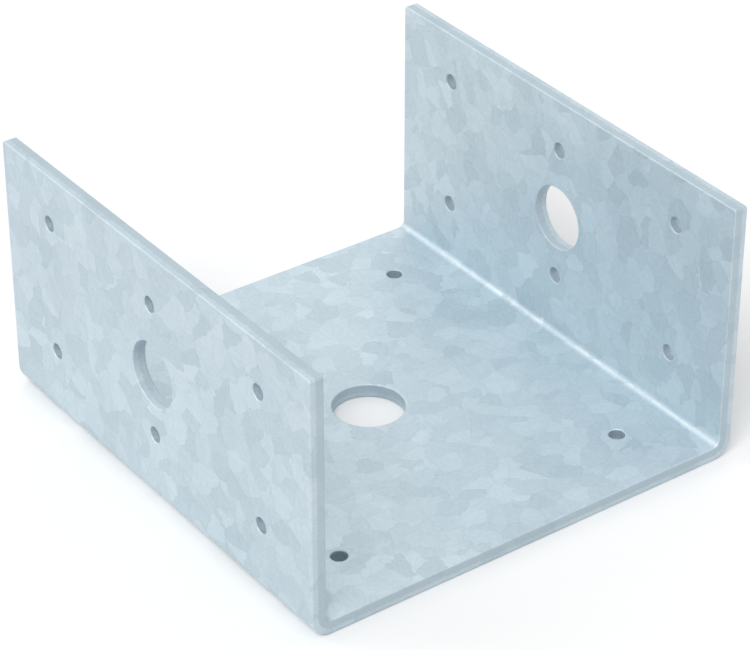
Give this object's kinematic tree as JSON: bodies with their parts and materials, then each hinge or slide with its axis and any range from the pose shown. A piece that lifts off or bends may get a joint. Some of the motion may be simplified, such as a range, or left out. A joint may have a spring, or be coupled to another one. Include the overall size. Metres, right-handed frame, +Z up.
{
  "type": "post base",
  "caption": "U-shaped post base folded from one heavy galvanised steel sheet, with an anchor hole in its seat and bolt and nail holes in its upright sides.",
  "frame": {"origin": "on the underside of the seat, at the centre of the anchor hole", "axes": "+Z up from the underside, +Y along the two bends, +X across the post from one side to the other"},
  "size_m": [0.1504, 0.156, 0.085],
  "materials": {
    "galvanised_sheet": "hot-dip galvanised, pale blue-grey, satin, with a faint spangle"
  },
  "bodies": {
    "root": {"post_base": "galvanised_sheet"}
  },
  "joints": []
}
